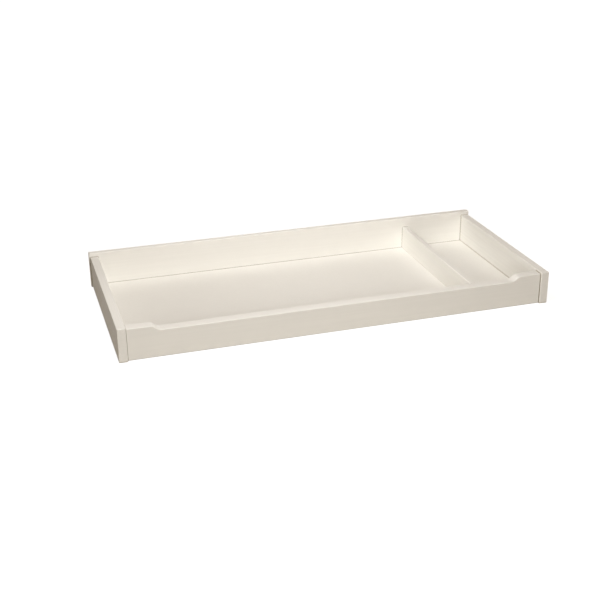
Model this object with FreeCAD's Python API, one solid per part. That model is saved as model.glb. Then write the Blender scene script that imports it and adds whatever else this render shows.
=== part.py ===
import FreeCAD, Part
import math
import os
from typing import NamedTuple
from FreeCAD import Vector

# Changing top: a low open tray of painted boards that stands on a chest of drawers and holds a changing pad.
# A scooped front rail stands between two end panels, a taller back board closes them behind,
# a divider parts off a storage bay, and a thin bottom panel sits in a rebate under the four sides.
# Cam locks and dowels draw the rail to the ends, and two swinging plates behind fix the tray to furniture.
# Millimetres. +X runs along the tray, -Y is the front, +Z is up, and the tray stands on Z = 0.


class ScrewSize(NamedTuple):
    """A countersunk screw, whose head is a right-angled cone."""

    head_radius: float
    shank_radius: float
    length: float


# Overall sizes
TRAY_LENGTH = 1050.0  # over the outer faces of the end panels
END_DEPTH = 454.0  # front edge of an end panel to the back board
END_HEIGHT = 81.0
END_THICKNESS = 20.0

# Back board
BACK_THICKNESS = 16.0
BACK_RISE = 10.0  # above the end panels
BACK_OVERHANG = 3.0  # past the outer face of each end panel
BACK_CORNER = 3.0  # radius of its two upper corners

# Front rail
RAIL_THICKNESS = 25.0
RAIL_SETBACK = 5.0  # behind the front edges of the end panels
RAIL_DROP = 4.0  # its two shoulders below the tops of the end panels
SCOOP_DEPTH = 11.5  # the dip below the shoulders
SHOULDER_LENGTH = 51.0
SCOOP_RUN = 28.0  # length of each ogee between shoulder and dip
RAIL_END_GAP = 0.5  # hairline between the rail and an end panel

# Divider and bottom panel
STORAGE_BAY_LENGTH = 161.0  # between the divider and the right end panel
DIVIDER_THICKNESS = 15.0
DIVIDER_DROP = 0.5  # its top below the dip of the rail
DIVIDER_END_GAP = 0.3  # hairline at the rail and at the back board
PANEL_THICKNESS = 5.0
PANEL_RECESS = 0.5  # the panel's underside above the bottom edges
REBATE_WIDTH = 8.0
PANEL_GAP = 0.3  # between the panel and the wall or the shoulder of its rebate

# Edge rounding
EDGE_ROUND = 1.5
RAIL_TOP_ROUND = 1.8
SOFT_ROUND = 2.0  # edges of the back board, ends of the rail and top edges of the divider

# Clearances of fasteners in their holes
FIT_GAP = 0.05
END_GAP = 1.0  # past the end of a dowel, bolt or screw

# Dowels
DOWEL_RADIUS = 4.0
DIVIDER_DOWEL_RADIUS = 3.0
DOWEL_BEVEL = 1.0
DOWEL_IN_GRAIN = 18.0  # into the end of a board
DOWEL_IN_FACE = 12.0  # into the face of an end panel or of the rail
DOWEL_IN_BACK = 10.0  # into the face of the back board
RAIL_DOWEL_INSET = 18.0  # from the bottom and from the shoulder of the rail
DIVIDER_DOWEL_INSET = 15.0  # from the bottom and from the top of the divider

# Cam locks, one at each end of the rail
CAM_RADIUS = 7.4
CAM_LENGTH = 14.5
CAM_BORE_GAP = 0.1
CAM_SINK = 0.3  # face of the cam below the rear face of the rail
CAM_SETBACK = 34.0  # of its axis from the end of the rail
CAM_HOLLOW_RADIUS = 5.4
CAM_HOLLOW_GAP = 0.4  # beside the bolt's head in the hollow
CAM_SLOT_GAP = 0.25  # beside the bolt's neck in the slot, and beside its head in the entry
CAM_CROSS_LENGTH = 9.0
CAM_CROSS_WIDTH = 1.4
CAM_CROSS_DEPTH = 1.6
BOLT_DEPTH = 9.5  # of the bolts and dowels from the rear face of the rail
BOLT_HEAD_RADIUS = 3.0
BOLT_HEAD_NEAR = 1.0  # from the cam's axis to the near face of the bolt's head
BOLT_HEAD_FAR = 4.0
BOLT_NECK_RADIUS = 2.0
BOLT_SHANK_RADIUS = 2.9
BOLT_THREAD_RADIUS = 2.5
BOLT_IN_END = 11.0
BOLT_HOLE_GAP = 0.3

# Screws
BACK_SCREW = ScrewSize(head_radius=4.0, shank_radius=2.0, length=45.0)
DIVIDER_SCREW = ScrewSize(head_radius=3.5, shank_radius=1.75, length=30.0)
PANEL_SCREW = ScrewSize(head_radius=2.8, shank_radius=1.4, length=14.0)
BACK_SCREW_INSET = 20.0  # from the bottom and from the top of an end panel
DIVIDER_SCREW_INSET = 17.0  # from the bottom and from the top of the divider
DIVIDER_FLOOR_SCREW_INSET = 106.0  # from the front and from the back of the divider
PANEL_SCREW_INSET = 4.0  # from the inner face of the board it holds to
PANEL_SCREW_MARGIN = 60.0  # from a corner of the tray to the first screw
LONG_SIDE_SCREWS = 5
SHORT_SIDE_SCREWS = 3
CROSS_WIDTH = 0.9  # of the recess in a screw head
CROSS_REACH_SHARE = 0.6  # of the head's radius
CROSS_DEPTH_SHARE = 0.55  # of the head's height

# Fixing plates that swing on the back board
PLATE_INSET = 145.0  # of the pivot from the outer face of the end panel
PLATE_PIVOT_Z = 28.0
PLATE_HOLE_SPACING = 50.0
PLATE_WIDTH = 16.0
PLATE_THICKNESS = 2.0
PLATE_HOLE_RADIUS = 2.5
PLATE_ROUND = 0.4
PIVOT_GAP = 0.05  # radial, between the pivot screw and the plate or the washer
SIDE_GAP = 0.1  # between the plate and the washer or the screw head
WASHER_RADIUS = 6.0
WASHER_THICKNESS = 1.0
PIVOT_HEAD_RADIUS = 4.6
PIVOT_HEAD_HEIGHT = 2.4
PIVOT_HEAD_BEVEL = 1.0
PIVOT_THREAD_RADIUS = 2.0
PIVOT_IN_BACK = 12.0

# Places worked out from the sizes above
HARDWARE_DEPTH = WASHER_THICKNESS + 2 * SIDE_GAP + PLATE_THICKNESS + PIVOT_HEAD_HEIGHT
FRONT_Y = -(END_DEPTH + BACK_THICKNESS + HARDWARE_DEPTH) / 2
BACK_Y = FRONT_Y + END_DEPTH  # front face of the back board
REAR_Y = BACK_Y + BACK_THICKNESS
RAIL_FRONT_Y = FRONT_Y + RAIL_SETBACK
RAIL_REAR_Y = RAIL_FRONT_Y + RAIL_THICKNESS
BOLT_Y = RAIL_REAR_Y - BOLT_DEPTH
OUTER_X = TRAY_LENGTH / 2
INNER_X = OUTER_X - END_THICKNESS
RAIL_END_X = INNER_X - RAIL_END_GAP
END_MIDDLE_X = (OUTER_X + INNER_X) / 2
CAM_X = RAIL_END_X - CAM_SETBACK
DIVIDER_RIGHT_X = INNER_X - STORAGE_BAY_LENGTH
DIVIDER_LEFT_X = DIVIDER_RIGHT_X - DIVIDER_THICKNESS
DIVIDER_MIDDLE_X = (DIVIDER_LEFT_X + DIVIDER_RIGHT_X) / 2
BACK_HEIGHT = END_HEIGHT + BACK_RISE
RAIL_HEIGHT = END_HEIGHT - RAIL_DROP
SCOOP_HEIGHT = RAIL_HEIGHT - SCOOP_DEPTH
CAM_HEIGHT = RAIL_HEIGHT / 2
DIVIDER_TOP = SCOOP_HEIGHT - DIVIDER_DROP
FLOOR_Z = PANEL_RECESS + PANEL_THICKNESS
REBATE_TOP = FLOOR_Z + PANEL_GAP

AHEAD = Vector(0, -1, 0)
BEHIND = Vector(0, 1, 0)
UP = Vector(0, 0, 1)
ORIGIN = Vector(0, 0, 0)
LEFT, RIGHT = SIDES = (-1, 1)
TOUCH = 0.01  # tolerance for finding an edge by its place


def box(x0, x1, y0, y1, z0, z1):
    """A block between two corners."""
    return Part.makeBox(x1 - x0, y1 - y0, z1 - z0, Vector(x0, y0, z0))


def side_box(side, x_near, x_far, y0, y1, z0, z1):
    """A block whose X limits are distances from the tray's middle towards one side."""
    x0, x1 = sorted((side * x_near, side * x_far))
    return box(x0, x1, y0, y1, z0, z1)


def rounded(shape, radius, chosen):
    """The shape with the edges whose bounding box passes the test rounded off."""
    return shape.makeFillet(radius, [edge for edge in shape.Edges if chosen(edge.BoundBox)])


def without(shape, tools):
    """The shape with all the tools cut away."""
    return shape.cut(tools).removeSplitter()


def placed(shape, point, direction):
    """A shape made along +Z from the origin, moved to run along the direction from the point."""
    shape.Placement = FreeCAD.Placement(point, FreeCAD.Rotation(UP, direction))
    return shape


def turned(outline, point, direction):
    """A closed outline of (radius, distance) points spun about the direction from the point."""
    corners = [Vector(radius, 0, distance) for radius, distance in outline]
    face = Part.Face(Part.makePolygon(corners + corners[:1]))
    return placed(face.revolve(ORIGIN, UP, 360), point, direction)


def spread(first, last, count):
    """Evenly spaced values from first to last."""
    return [first + (last - first) * i / (count - 1) for i in range(count)]


# Dowels

def dowel(point, direction, radius, behind, ahead):
    """A round dowel with bevelled ends that crosses a joint at the point."""
    tip = radius - DOWEL_BEVEL
    outline = [
        (0, -behind), (tip, -behind), (radius, DOWEL_BEVEL - behind),
        (radius, ahead - DOWEL_BEVEL), (tip, ahead), (0, ahead),
    ]
    return turned(outline, point, direction)


def dowel_hole(point, direction, radius, behind, ahead):
    """The hole of a dowel, in both boards."""
    start = point - direction * (behind + END_GAP)
    return Part.makeCylinder(radius + FIT_GAP, behind + ahead + 2 * END_GAP, start, direction)


def rail_dowel_places():
    """Dowels from the rail's ends into the end panels."""
    for side in SIDES:
        for height in (RAIL_DOWEL_INSET, RAIL_HEIGHT - RAIL_DOWEL_INSET):
            point = Vector(side * INNER_X, BOLT_Y, height)
            yield point, Vector(side, 0, 0), DOWEL_RADIUS, DOWEL_IN_GRAIN, DOWEL_IN_FACE


def back_dowel_places():
    """Dowels from the end panels into the back board."""
    for side in SIDES:
        point = Vector(side * END_MIDDLE_X, BACK_Y, END_HEIGHT / 2)
        yield point, BEHIND, DOWEL_RADIUS, DOWEL_IN_GRAIN, DOWEL_IN_BACK


def divider_dowel_places():
    """Dowels from the divider into the front rail."""
    for height in (FLOOR_Z + DIVIDER_DOWEL_INSET, DIVIDER_TOP - DIVIDER_DOWEL_INSET):
        point = Vector(DIVIDER_MIDDLE_X, RAIL_REAR_Y, height)
        yield point, AHEAD, DIVIDER_DOWEL_RADIUS, DOWEL_IN_GRAIN, DOWEL_IN_FACE


# Countersunk screws

def screw_outline(size, wall_gap=0.0, end_gap=0.0):
    """Half section of a screw, or of the hole that takes it with gaps at its wall and its end."""
    head = size.head_radius + wall_gap
    shank = size.shank_radius + wall_gap
    point_start = size.length - 2 * size.shank_radius
    outline = [(0, 0), (head, 0), (shank, head - shank)]
    return outline + [(shank, point_start + end_gap), (0, size.length + end_gap)]


def cross_recess(head_radius, head_height):
    """The cross-shaped driver recess of a screw head, from the origin along +Z."""
    reach = head_radius * CROSS_REACH_SHARE
    depth = head_height * CROSS_DEPTH_SHARE
    half = CROSS_WIDTH / 2
    return box(-reach, reach, -half, half, 0, depth).fuse(box(-half, half, -reach, reach, 0, depth))


def screw(point, direction, size):
    """A countersunk screw with the face of its head at the point."""
    body = turned(screw_outline(size), ORIGIN, UP)
    body = without(body, [cross_recess(size.head_radius, size.head_radius - size.shank_radius)])
    return placed(body, point, direction)


def screw_hole(point, direction, size):
    """The countersunk hole of a screw, through all the boards that it holds."""
    return turned(screw_outline(size, FIT_GAP, END_GAP), point, direction)


def back_screw_places():
    """Screws through the back board into the end panels."""
    for side in SIDES:
        for height in (BACK_SCREW_INSET, END_HEIGHT - BACK_SCREW_INSET):
            yield Vector(side * END_MIDDLE_X, REAR_Y, height), AHEAD, BACK_SCREW


def divider_back_screw_places():
    """Screws through the back board into the divider."""
    for height in (FLOOR_Z + DIVIDER_SCREW_INSET, DIVIDER_TOP - DIVIDER_SCREW_INSET):
        yield Vector(DIVIDER_MIDDLE_X, REAR_Y, height), AHEAD, BACK_SCREW


def divider_floor_screw_places():
    """Screws up through the bottom panel into the divider."""
    for y in (RAIL_REAR_Y + DIVIDER_FLOOR_SCREW_INSET, BACK_Y - DIVIDER_FLOOR_SCREW_INSET):
        yield Vector(DIVIDER_MIDDLE_X, y, PANEL_RECESS), UP, DIVIDER_SCREW


def long_side_screw_places(y):
    """Screws up through the bottom panel into the front rail or the back board."""
    reach = INNER_X - PANEL_SCREW_MARGIN
    for x in spread(-reach, reach, LONG_SIDE_SCREWS):
        yield Vector(x, y, PANEL_RECESS), UP, PANEL_SCREW


def front_panel_screw_places():
    """Screws up through the bottom panel into the front rail."""
    return long_side_screw_places(RAIL_REAR_Y - PANEL_SCREW_INSET)


def back_panel_screw_places():
    """Screws up through the bottom panel into the back board."""
    return long_side_screw_places(BACK_Y + PANEL_SCREW_INSET)


def end_panel_screw_places(side):
    """Screws up through the bottom panel into one end panel."""
    for y in spread(RAIL_REAR_Y + PANEL_SCREW_MARGIN, BACK_Y - PANEL_SCREW_MARGIN, SHORT_SIDE_SCREWS):
        yield Vector(side * (INNER_X + PANEL_SCREW_INSET), y, PANEL_RECESS), UP, PANEL_SCREW


def panel_screw_places():
    """All the screws round the edge of the bottom panel."""
    yield from front_panel_screw_places()
    yield from back_panel_screw_places()
    for side in SIDES:
        yield from end_panel_screw_places(side)


# Cam locks

def bolt_line(side):
    """The point where a cam's axis and its bolt's axis cross, and the direction that the bolt runs in."""
    return Vector(side * CAM_X, BOLT_Y, CAM_HEIGHT), Vector(side, 0, 0)


def cam_bolt(side):
    """The headed bolt that is screwed into an end panel and held by the cam."""
    point, direction = bolt_line(side)
    seat = INNER_X - CAM_X  # the shank's shoulder, on the face of the end panel
    neck_end = CAM_RADIUS + CAM_BORE_GAP + BOLT_HOLE_GAP
    outline = [
        (0, BOLT_HEAD_NEAR), (BOLT_HEAD_RADIUS, BOLT_HEAD_NEAR), (BOLT_HEAD_RADIUS, BOLT_HEAD_FAR),
        (BOLT_NECK_RADIUS, BOLT_HEAD_FAR), (BOLT_NECK_RADIUS, neck_end),
        (BOLT_SHANK_RADIUS, neck_end), (BOLT_SHANK_RADIUS, seat), (BOLT_THREAD_RADIUS, seat),
        (BOLT_THREAD_RADIUS, seat + BOLT_IN_END), (0, seat + BOLT_IN_END),
    ]
    return turned(outline, point, direction)


def bolt_hole_in_end(side):
    """The hole in an end panel for the thread of its cam bolt."""
    point = Vector(side * INNER_X, BOLT_Y, CAM_HEIGHT)
    return Part.makeCylinder(BOLT_THREAD_RADIUS + FIT_GAP, BOLT_IN_END + END_GAP, point, Vector(side, 0, 0))


def cam_holes_in_rail(side):
    """The bore for a cam in the rear face of the rail, and the hole for its bolt from the rail's end."""
    point, direction = bolt_line(side)
    mouth = Vector(point.x, RAIL_REAR_Y, point.z)
    bore_depth = CAM_SINK + CAM_LENGTH + CAM_BORE_GAP
    bore = Part.makeCylinder(CAM_RADIUS + CAM_BORE_GAP, bore_depth, mouth, AHEAD)
    bolt_hole = Part.makeCylinder(BOLT_SHANK_RADIUS + BOLT_HOLE_GAP, CAM_SETBACK + END_GAP, point, direction)
    return [bore, bolt_hole]


def cam_lock(side):
    """A drum, hollow for the bolt's head, with a slot round half its wall and an entry opposite the bolt."""
    point, direction = bolt_line(side)
    face_y = RAIL_REAR_Y - CAM_SINK
    drum = Part.makeCylinder(CAM_RADIUS, CAM_LENGTH, Vector(point.x, face_y, point.z), AHEAD)
    head = BOLT_HEAD_RADIUS + CAM_HOLLOW_GAP
    hollow = Part.makeCylinder(CAM_HOLLOW_RADIUS, 2 * head, point + BEHIND * head, AHEAD)
    neck = BOLT_NECK_RADIUS + CAM_SLOT_GAP
    past = CAM_RADIUS + END_GAP
    slot_low, slot_high = sorted((-side * neck, side * past))
    slot = box(point.x - past, point.x + past, point.y - neck, point.y + neck,
               point.z + slot_low, point.z + slot_high)
    entry = Part.makeCylinder(BOLT_HEAD_RADIUS + CAM_SLOT_GAP, past, point, -direction)
    reach = CAM_CROSS_LENGTH / 2
    half = CAM_CROSS_WIDTH / 2
    cross_y = face_y - CAM_CROSS_DEPTH
    flat = box(point.x - reach, point.x + reach, cross_y, face_y, point.z - half, point.z + half)
    upright = box(point.x - half, point.x + half, cross_y, face_y, point.z - reach, point.z + reach)
    return without(drum, [hollow, slot, entry, flat.fuse(upright)])


# Fixing plates

def plate_pivot(side):
    """Where the pivot screw of a plate meets the rear face of the back board."""
    return Vector(side * (OUTER_X - PLATE_INSET), REAR_Y, PLATE_PIVOT_Z)


def fixing_plate(side):
    """A round-ended steel plate, stowed along the back board towards its middle."""
    pivot = plate_pivot(side) + BEHIND * (WASHER_THICKNESS + SIDE_GAP)
    end = pivot - Vector(side * PLATE_HOLE_SPACING, 0, 0)
    rise = Vector(0, 0, PLATE_WIDTH / 2)
    reach = Vector(side * PLATE_WIDTH / 2, 0, 0)
    outline = Part.Wire([
        Part.LineSegment(pivot + rise, end + rise).toShape(),
        Part.Arc(end + rise, end - reach, end - rise).toShape(),
        Part.LineSegment(end - rise, pivot - rise).toShape(),
        Part.Arc(pivot - rise, pivot + reach, pivot + rise).toShape(),
    ])
    plate = Part.Face(outline).extrude(BEHIND * PLATE_THICKNESS)
    plate = rounded(plate, PLATE_ROUND, lambda b: b.YLength < TOUCH)
    holes = [Part.makeCylinder(PLATE_HOLE_RADIUS, PLATE_THICKNESS, centre, BEHIND) for centre in (pivot, end)]
    return without(plate, holes)


def plate_washer(side):
    """The nylon washer that keeps a plate off the paint."""
    outline = [
        (PLATE_HOLE_RADIUS, 0), (WASHER_RADIUS, 0),
        (WASHER_RADIUS, WASHER_THICKNESS), (PLATE_HOLE_RADIUS, WASHER_THICKNESS),
    ]
    return turned(outline, plate_pivot(side), BEHIND)


def pivot_screw(side):
    """The shouldered screw that a plate swings on."""
    shoulder = PLATE_HOLE_RADIUS - PIVOT_GAP
    top = HARDWARE_DEPTH
    under_head = top - PIVOT_HEAD_HEIGHT
    outline = [
        (0, -PIVOT_IN_BACK), (PIVOT_THREAD_RADIUS, 2 * PIVOT_THREAD_RADIUS - PIVOT_IN_BACK),
        (PIVOT_THREAD_RADIUS, 0), (shoulder, 0), (shoulder, under_head), (PIVOT_HEAD_RADIUS, under_head),
        (PIVOT_HEAD_RADIUS, top - PIVOT_HEAD_BEVEL), (PIVOT_HEAD_RADIUS - PIVOT_HEAD_BEVEL, top), (0, top),
    ]
    body = turned(outline, plate_pivot(side), BEHIND)
    crown = plate_pivot(side) + BEHIND * top
    return without(body, [placed(cross_recess(PIVOT_HEAD_RADIUS, PIVOT_HEAD_HEIGHT), crown, AHEAD)])


def pivot_hole(side):
    """The hole in the back board for the thread of a pivot screw."""
    return Part.makeCylinder(PIVOT_THREAD_RADIUS + FIT_GAP, PIVOT_IN_BACK + END_GAP, plate_pivot(side), AHEAD)


# Boards

def end_panel(side):
    """An end panel, rebated below for the bottom panel and bored for its fasteners."""
    board = side_box(side, INNER_X, OUTER_X, FRONT_Y, BACK_Y, 0, END_HEIGHT)

    def eased(b):
        along = b.YLength > TOUCH
        front = b.YMax < FRONT_Y + TOUCH
        top = b.ZMin > END_HEIGHT - TOUCH
        outer_bottom = b.ZMax < TOUCH and abs(b.XMin - side * OUTER_X) < TOUCH
        return front or (along and (top or outer_bottom))

    board = rounded(board, EDGE_ROUND, eased)
    rebate_front = RAIL_REAR_Y - REBATE_WIDTH
    rebate = side_box(side, INNER_X, INNER_X + REBATE_WIDTH, rebate_front, BACK_Y, 0, REBATE_TOP)
    tools = [rebate, bolt_hole_in_end(side)]
    tools += [dowel_hole(*place) for place in (*rail_dowel_places(), *back_dowel_places())]
    tools += [screw_hole(*place) for place in (*back_screw_places(), *end_panel_screw_places(side))]
    return without(board, tools)


def ogee(x_high, x_low):
    """The S-curve from a shoulder of the rail down to its dip, as two equal arcs."""
    rise = SCOOP_DEPTH / 2
    run = (x_low - x_high) / 2
    radius = (run ** 2 + rise ** 2) / (2 * rise)
    half_turn = math.asin(abs(run) / radius) / 2
    across = math.copysign(radius * math.sin(half_turn), run)
    drop = radius * (1 - math.cos(half_turn))
    high = Vector(x_high, RAIL_FRONT_Y, RAIL_HEIGHT)
    middle = high + Vector(run, 0, -rise)
    low = middle + Vector(run, 0, -rise)
    return [
        Part.Arc(high, high + Vector(across, 0, -drop), middle).toShape(),
        Part.Arc(middle, low + Vector(-across, 0, drop), low).toShape(),
    ]


def front_rail():
    """The scooped front rail."""
    shoulder_x = RAIL_END_X - SHOULDER_LENGTH
    dip_x = shoulder_x - SCOOP_RUN

    def line(x0, z0, x1, z1):
        return Part.LineSegment(Vector(x0, RAIL_FRONT_Y, z0), Vector(x1, RAIL_FRONT_Y, z1)).toShape()

    def eased(b):
        bottom_front = b.ZMax < TOUCH and b.YMax < RAIL_FRONT_Y + TOUCH
        end = b.XLength < TOUCH and b.ZMax > TOUCH
        return bottom_front or end

    outline = Part.Wire([
        line(-RAIL_END_X, 0, -RAIL_END_X, RAIL_HEIGHT),
        line(-RAIL_END_X, RAIL_HEIGHT, -shoulder_x, RAIL_HEIGHT),
        *ogee(-shoulder_x, -dip_x),
        line(-dip_x, SCOOP_HEIGHT, dip_x, SCOOP_HEIGHT),
        *reversed(ogee(shoulder_x, dip_x)),
        line(shoulder_x, RAIL_HEIGHT, RAIL_END_X, RAIL_HEIGHT),
        line(RAIL_END_X, RAIL_HEIGHT, RAIL_END_X, 0),
        line(RAIL_END_X, 0, -RAIL_END_X, 0),
    ])
    rail = Part.Face(outline).extrude(BEHIND * RAIL_THICKNESS)
    rail = rounded(rail, RAIL_TOP_ROUND, lambda b: b.ZMin > SCOOP_HEIGHT - TOUCH and b.YLength < TOUCH)
    rail = rounded(rail, SOFT_ROUND, eased)
    tools = [box(-RAIL_END_X, RAIL_END_X, RAIL_REAR_Y - REBATE_WIDTH, RAIL_REAR_Y, 0, REBATE_TOP)]
    for side in SIDES:
        tools += cam_holes_in_rail(side)
    tools += [dowel_hole(*place) for place in (*rail_dowel_places(), *divider_dowel_places())]
    tools += [screw_hole(*place) for place in front_panel_screw_places()]
    return without(rail, tools)


def back_board():
    """The back board, taller than the ends and a little longer than the tray."""
    half = OUTER_X + BACK_OVERHANG
    board = box(-half, half, BACK_Y, REAR_Y, 0, BACK_HEIGHT)
    board = rounded(board, BACK_CORNER, lambda b: b.ZMin > BACK_HEIGHT - TOUCH and b.XLength < TOUCH)
    board = rounded(board, SOFT_ROUND, lambda b: b.YLength < TOUCH and b.ZMax > TOUCH)
    wall = INNER_X + REBATE_WIDTH
    tools = [box(-wall, wall, BACK_Y, BACK_Y + REBATE_WIDTH, 0, REBATE_TOP)]
    tools += [pivot_hole(side) for side in SIDES]
    tools += [dowel_hole(*place) for place in back_dowel_places()]
    screws = (*back_screw_places(), *divider_back_screw_places(), *back_panel_screw_places())
    tools += [screw_hole(*place) for place in screws]
    return without(board, tools)


def divider():
    """The divider between the pad bay and the storage bay."""
    front = RAIL_REAR_Y + DIVIDER_END_GAP
    board = box(DIVIDER_LEFT_X, DIVIDER_RIGHT_X, front, BACK_Y - DIVIDER_END_GAP, FLOOR_Z, DIVIDER_TOP)
    board = rounded(board, SOFT_ROUND, lambda b: b.ZMin > DIVIDER_TOP - TOUCH and b.YLength > TOUCH)
    tools = [dowel_hole(*place) for place in divider_dowel_places()]
    tools += [screw_hole(*place) for place in (*divider_back_screw_places(), *divider_floor_screw_places())]
    return without(board, tools)


def bottom_panel():
    """The thin bottom panel, let into the rebates of the four sides."""
    reach = REBATE_WIDTH - PANEL_GAP
    half = INNER_X + reach
    panel = box(-half, half, RAIL_REAR_Y - reach, BACK_Y + reach, PANEL_RECESS, FLOOR_Z)
    screws = (*panel_screw_places(), *divider_floor_screw_places())
    return without(panel, [screw_hole(*place) for place in screws])


def group(solids):
    """Several like pieces, kept as separate solids in one node."""
    return Part.makeCompound(list(solids))


def sub_parts():
    """Every node of the changing top by name."""
    return {
        "left_end_panel": end_panel(LEFT),
        "right_end_panel": end_panel(RIGHT),
        "front_rail": front_rail(),
        "back_board": back_board(),
        "divider": divider(),
        "bottom_panel": bottom_panel(),
        "rail_dowels": group(dowel(*place) for place in rail_dowel_places()),
        "back_dowels": group(dowel(*place) for place in back_dowel_places()),
        "divider_dowels": group(dowel(*place) for place in divider_dowel_places()),
        "left_cam_bolt": cam_bolt(LEFT),
        "right_cam_bolt": cam_bolt(RIGHT),
        "left_cam_lock": cam_lock(LEFT),
        "right_cam_lock": cam_lock(RIGHT),
        "back_board_screws": group(screw(*place) for place in back_screw_places()),
        "divider_back_screws": group(screw(*place) for place in divider_back_screw_places()),
        "divider_floor_screws": group(screw(*place) for place in divider_floor_screw_places()),
        "bottom_panel_screws": group(screw(*place) for place in panel_screw_places()),
        "left_fixing_plate": fixing_plate(LEFT),
        "right_fixing_plate": fixing_plate(RIGHT),
        "plate_pivot_screws": group(pivot_screw(side) for side in SIDES),
        "plate_washers": group(plate_washer(side) for side in SIDES),
    }


os.makedirs("parts", exist_ok=True)
for name, shape in sub_parts().items():
    shape.exportStep(f"parts/{name}.step")
    volume = sum(solid.Volume for solid in shape.Solids)
    print(f"{name}: {len(shape.Solids)} solids, {volume:.0f} mm3, valid {shape.isValid()}")
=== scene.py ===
"""Changing top: the looks of a low painted tray for a changing pad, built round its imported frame.

Metres. +X runs along the tray, -Y is the front, +Z is up, and the tray stands on Z = 0.
"""

import logging
import math
from collections.abc import Callable
from dataclasses import dataclass
from enum import Enum
from functools import cache

import bpy
from mathutils import Matrix, Vector


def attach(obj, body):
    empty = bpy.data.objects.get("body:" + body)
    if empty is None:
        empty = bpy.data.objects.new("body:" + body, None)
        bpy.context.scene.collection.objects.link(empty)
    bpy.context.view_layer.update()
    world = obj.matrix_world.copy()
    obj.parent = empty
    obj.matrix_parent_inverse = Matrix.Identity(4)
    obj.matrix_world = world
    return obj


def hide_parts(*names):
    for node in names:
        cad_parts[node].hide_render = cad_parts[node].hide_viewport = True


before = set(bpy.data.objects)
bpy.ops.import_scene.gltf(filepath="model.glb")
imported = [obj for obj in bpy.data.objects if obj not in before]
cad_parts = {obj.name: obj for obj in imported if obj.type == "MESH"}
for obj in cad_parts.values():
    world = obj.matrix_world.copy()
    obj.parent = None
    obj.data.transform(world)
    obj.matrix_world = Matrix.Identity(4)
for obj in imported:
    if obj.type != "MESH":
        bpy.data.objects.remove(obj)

Colour = tuple[float, float, float]
Tone = tuple[float, float, float, float]
Place = tuple[float, float, float]
Span = tuple[float, float]
Outline = tuple[tuple[float, float], ...]
Socket = bpy.types.NodeSocket
Object = bpy.types.Object
Material = bpy.types.Material
log = logging.getLogger("changing_top")

MM = 0.001
AHEAD: Place = (0.0, -1.0, 0.0)
BEHIND: Place = (0.0, 1.0, 0.0)
UP: Place = (0.0, 0.0, 1.0)
QUARTER_TURN = 90.0
HALF_TURN = 180.0
# Turn from one screw's cross to the next one's, in degrees
SPIN_STEP = 37.0

WHITE: Colour = (1.0, 1.0, 1.0)
# The part of a noise pattern's range that most of it lies in
NOISE_SPAN: Span = (0.3, 0.7)
FULL_SPAN: Span = (0.0, 1.0)
LINE_DETAIL = 4.0
CLOUD_DETAIL = 3.0
PIT_DETAIL = 2.0
PLAIN_DETAIL = 1.0
BUMP_STRENGTH = 0.3


class Side(Enum):
    """The two ends of the tray, as signs along X."""

    LEFT = -1.0
    RIGHT = 1.0

    def label(self) -> str:
        """The word that the names of its pieces start with."""
        return self.name.lower()

    def turn(self) -> float:
        """The turn in degrees that makes a right piece this side's."""
        return HALF_TURN if self is Side.LEFT else 0.0


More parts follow.
